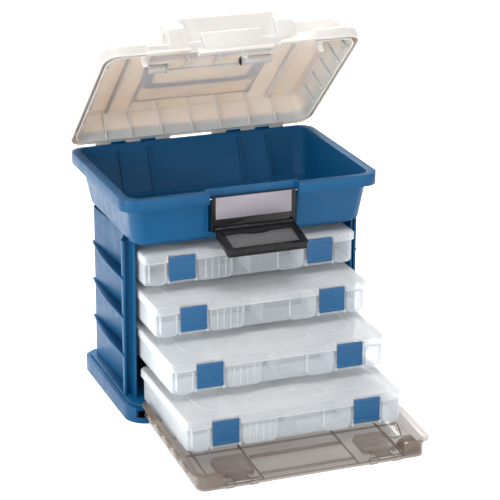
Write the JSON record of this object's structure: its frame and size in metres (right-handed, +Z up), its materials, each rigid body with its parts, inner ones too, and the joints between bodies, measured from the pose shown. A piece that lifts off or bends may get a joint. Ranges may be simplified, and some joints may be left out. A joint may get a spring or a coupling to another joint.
{
  "type": "fishing tackle cabinet",
  "caption": "Fishing tackle cabinet: handled lid over a deep tray, slide-out clear utility boxes in bays below, and a clear drop-down front door.",
  "frame": {"origin": "centre of the base's underside, on the surface it stands on", "axes": "+X to the right as seen from the front, -Y towards the front door, +Z up"},
  "size_m": [0.427, 0.5838, 0.617],
  "materials": {
    "cabinet_blue": "fine moulded texture, semi-matt",
    "lid_shell": "fine moulded texture, semi-matt",
    "handle_plastic": "semi-matt",
    "latch_black": "gloss with rubbed edges",
    "latch_plate": "satin",
    "lever_pane": "smoky, satin",
    "door_smoke": "clear smoke tint, glossy",
    "box_clear": "frosted clear",
    "box_lid_clear": "frosted clear, light texture",
    "box_latch_blue": "satin, ribbed",
    "pin_steel": "drawn wire"
  },
  "bodies": {
    "cabinet": {"base_plinth": "cabinet_blue", "base_deck": "cabinet_blue", "side_panel_left": "cabinet_blue", "side_panel_right": "cabinet_blue", "side_fins_left": "cabinet_blue", "side_fins_right": "cabinet_blue", "shelf_rails_left": "cabinet_blue", "shelf_rails_right": "cabinet_blue", "back_panel": "cabinet_blue", "top_tray": "cabinet_blue", "lid_hinge_pins": "pin_steel", "tray_latch_pins": "pin_steel", "door_hinge_pins": "pin_steel"},
    "lid": {"lid": "lid_shell", "handle_pins": "pin_steel"},
    "handle": {"handle": "handle_plastic"},
    "tray_latch_link": {"tray_latch_link": "latch_black", "tray_latch_plate": "latch_plate", "lever_pin": "pin_steel"},
    "tray_latch_lever": {"tray_latch_lever": "latch_black", "tray_latch_window": "lever_pane"},
    "front_door": {"front_door": "door_smoke", "door_latch_pins": "pin_steel"},
    "door_latch_left": {"door_latch_left": "door_smoke"},
    "door_latch_right": {"door_latch_right": "door_smoke"},
    "box_1": {"box_1_tray": "box_clear", "box_1_dividers": "box_clear", "box_1_hinge_pin": "pin_steel"},
    "box_1_lid": {"box_1_lid": "box_lid_clear"},
    "box_1_latch_left": {"box_1_latch_left": "box_latch_blue"},
    "box_1_latch_right": {"box_1_latch_right": "box_latch_blue"},
    "box_2": {"box_2_tray": "box_clear", "box_2_dividers": "box_clear", "box_2_hinge_pin": "pin_steel"},
    "box_2_lid": {"box_2_lid": "box_lid_clear"},
    "box_2_latch_left": {"box_2_latch_left": "box_latch_blue"},
    "box_2_latch_right": {"box_2_latch_right": "box_latch_blue"},
    "box_3": {"box_3_tray": "box_clear", "box_3_dividers": "box_clear", "box_3_hinge_pin": "pin_steel"},
    "box_3_lid": {"box_3_lid": "box_lid_clear"},
    "box_3_latch_left": {"box_3_latch_left": "box_latch_blue"},
    "box_3_latch_right": {"box_3_latch_right": "box_latch_blue"},
    "box_4": {"box_4_tray": "box_clear", "box_4_dividers": "box_clear", "box_4_hinge_pin": "pin_steel"},
    "box_4_lid": {"box_4_lid": "box_lid_clear"},
    "box_4_latch_left": {"box_4_latch_left": "box_latch_blue"},
    "box_4_latch_right": {"box_4_latch_right": "box_latch_blue"}
  },
  "joints": [
    {"name": "lid_hinge", "type": "hinge", "parent": "cabinet", "child": "lid", "pos_m": [0, 0.168, 0.376], "axis": [-1, 0, 0], "range_deg": [-43, 52]},
    {"name": "handle_pivot", "type": "hinge", "parent": "lid", "child": "handle", "pos_m": [0, 0.08489, 0.52734], "axis": [1, 0, 0], "range_deg": [0, 100]},
    {"name": "tray_latch_swing", "type": "hinge", "parent": "cabinet", "child": "tray_latch_link", "pos_m": [0, -0.1275, 0.36], "axis": [-1, 0, 0], "range_deg": [0, 20]},
    {"name": "tray_latch_lever_pivot", "type": "hinge", "parent": "tray_latch_link", "child": "tray_latch_lever", "pos_m": [0, -0.132, 0.311], "axis": [1, 0, 0], "range_deg": [-103.5, 0]},
    {"name": "front_door_hinge", "type": "hinge", "parent": "cabinet", "child": "front_door", "pos_m": [0, -0.127, 0.0195], "axis": [1, 0, 0], "range_deg": [-6, 0]},
    {"name": "door_latch_left_pivot", "type": "hinge", "parent": "front_door", "child": "door_latch_left", "pos_m": [-0.116, -0.39086, 0.00953], "axis": [1, 0, 0], "range_deg": [0, 110]},
    {"name": "door_latch_right_pivot", "type": "hinge", "parent": "front_door", "child": "door_latch_right", "pos_m": [0.116, -0.39086, 0.00953], "axis": [1, 0, 0], "range_deg": [0, 110]},
    {"name": "box_1_slide", "type": "slide", "parent": "cabinet", "child": "box_1", "axis": [0, -1, 0], "range_m": [-0.004, 0.196]},
    {"name": "box_1_lid_hinge", "type": "hinge", "parent": "box_1", "child": "box_1_lid", "pos_m": [0, 0.102, 0.2693], "axis": [-1, 0, 0], "range_deg": [0, 3]},
    {"name": "box_1_latch_left_pivot", "type": "hinge", "parent": "box_1", "child": "box_1_latch_left", "pos_m": [-0.1155, -0.1207, 0.2343], "axis": [1, 0, 0], "range_deg": [0, 100]},
    {"name": "box_1_latch_right_pivot", "type": "hinge", "parent": "box_1", "child": "box_1_latch_right", "pos_m": [0.1155, -0.1207, 0.2343], "axis": [1, 0, 0], "range_deg": [0, 100]},
    {"name": "box_2_slide", "type": "slide", "parent": "cabinet", "child": "box_2", "axis": [0, -1, 0], "range_m": [-0.057, 0.143]},
    {"name": "box_2_lid_hinge", "type": "hinge", "parent": "box_2", "child": "box_2_lid", "pos_m": [0, 0.049, 0.2043], "axis": [-1, 0, 0], "range_deg": [0, 3]},
    {"name": "box_2_latch_left_pivot", "type": "hinge", "parent": "box_2", "child": "box_2_latch_left", "pos_m": [-0.1155, -0.1737, 0.1693], "axis": [1, 0, 0], "range_deg": [0, 100]},
    {"name": "box_2_latch_right_pivot", "type": "hinge", "parent": "box_2", "child": "box_2_latch_right", "pos_m": [0.1155, -0.1737, 0.1693], "axis": [1, 0, 0], "range_deg": [0, 100]},
    {"name": "box_3_slide", "type": "slide", "parent": "cabinet", "child": "box_3", "axis": [0, -1, 0], "range_m": [-0.131, 0.069]},
    {"name": "box_3_lid_hinge", "type": "hinge", "parent": "box_3", "child": "box_3_lid", "pos_m": [0, -0.025, 0.1393], "axis": [-1, 0, 0], "range_deg": [0, 3]},
    {"name": "box_3_latch_left_pivot", "type": "hinge", "parent": "box_3", "child": "box_3_latch_left", "pos_m": [-0.1155, -0.2477, 0.1043], "axis": [1, 0, 0], "range_deg": [0, 100]},
    {"name": "box_3_latch_right_pivot", "type": "hinge", "parent": "box_3", "child": "box_3_latch_right", "pos_m": [0.1155, -0.2477, 0.1043], "axis": [1, 0, 0], "range_deg": [0, 100]},
    {"name": "box_4_slide", "type": "slide", "parent": "cabinet", "child": "box_4", "axis": [0, -1, 0], "range_m": [-0.2, 0]},
    {"name": "box_4_lid_hinge", "type": "hinge", "parent": "box_4", "child": "box_4_lid", "pos_m": [0, -0.094, 0.0743], "axis": [-1, 0, 0], "range_deg": [0, 3]},
    {"name": "box_4_latch_left_pivot", "type": "hinge", "parent": "box_4", "child": "box_4_latch_left", "pos_m": [-0.1155, -0.3167, 0.0393], "axis": [1, 0, 0], "range_deg": [0, 100]},
    {"name": "box_4_latch_right_pivot", "type": "hinge", "parent": "box_4", "child": "box_4_latch_right", "pos_m": [0.1155, -0.3167, 0.0393], "axis": [1, 0, 0], "range_deg": [0, 100]}
  ]
}
